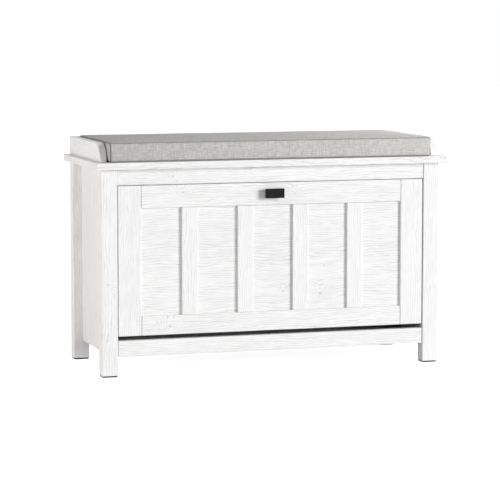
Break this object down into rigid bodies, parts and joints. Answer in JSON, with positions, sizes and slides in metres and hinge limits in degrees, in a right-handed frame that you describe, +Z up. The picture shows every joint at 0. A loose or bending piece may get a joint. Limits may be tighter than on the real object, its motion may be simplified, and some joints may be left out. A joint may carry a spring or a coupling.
{
  "type": "entry bench",
  "caption": "Shoe storage bench on four legs: cushioned seat with a low guard rail on three sides over one wide flip-down drawer with a board-and-batten front and an oblong knob.",
  "frame": {"origin": "on the floor under the middle of the bench", "axes": "+X along the seat to the right, front towards -Y, +Z up"},
  "size_m": [0.8, 0.318, 0.5134],
  "materials": {
    "white_oak": "white oak look, satin",
    "white_board": "white laminated board",
    "linen": "light grey linen weave",
    "black_metal": "satin black",
    "black_plastic": "matte black",
    "zinc": "zinc plated"
  },
  "bodies": {
    "case": {"seat_board": "white_oak", "guard_rail_left": "white_oak", "guard_rail_right": "white_oak", "guard_rail_back": "white_oak", "leg_front_left": "white_oak", "leg_front_right": "white_oak", "leg_back_left": "white_oak", "leg_back_right": "white_oak", "side_panel_left": "white_oak", "side_panel_right": "white_oak", "front_top_rail": "white_oak", "front_bottom_rail": "white_oak", "back_top_rail": "white_oak", "back_bottom_rail": "white_oak", "back_panel": "white_board", "bottom_panel": "white_board", "seat_cushion": "linen", "foot_pad_front_left": "black_plastic", "foot_pad_front_right": "black_plastic", "foot_pad_back_left": "black_plastic", "foot_pad_back_right": "black_plastic", "pivot_plate_left": "zinc", "pivot_plate_right": "zinc", "pivot_pin_left": "zinc", "pivot_pin_right": "zinc", "stop_pin_left": "zinc", "stop_pin_right": "zinc", "pivot_plate_screw_left_1": "zinc", "pivot_plate_screw_left_2": "zinc", "pivot_plate_screw_right_1": "zinc", "pivot_plate_screw_right_2": "zinc", "cam_lock_front_left": "zinc", "cam_lock_front_right": "zinc", "cam_lock_back_left": "zinc", "cam_lock_back_right": "zinc"},
    "flip_drawer": {"door_panel": "white_oak", "door_stile_left": "white_oak", "door_stile_right": "white_oak", "door_top_rail": "white_oak", "door_bottom_rail": "white_oak", "door_batten_1": "white_oak", "door_batten_2": "white_oak", "door_batten_3": "white_oak", "door_batten_4": "white_oak", "lower_shelf": "white_board", "upper_shelf": "white_board", "knob_plate": "black_metal", "knob_stem": "black_metal", "drawer_bracket_left": "black_plastic", "drawer_bracket_right": "black_plastic", "knob_screw": "zinc", "bracket_screw_left_1": "zinc", "bracket_screw_left_2": "zinc", "bracket_screw_left_3": "zinc", "bracket_screw_right_1": "zinc", "bracket_screw_right_2": "zinc", "bracket_screw_right_3": "zinc"}
  },
  "joints": [
    {"name": "flip_drawer_hinge", "type": "hinge", "parent": "case", "child": "flip_drawer", "pos_m": [0, -0.117, 0.118], "axis": [1, 0, 0], "range_deg": [0, 48]}
  ]
}
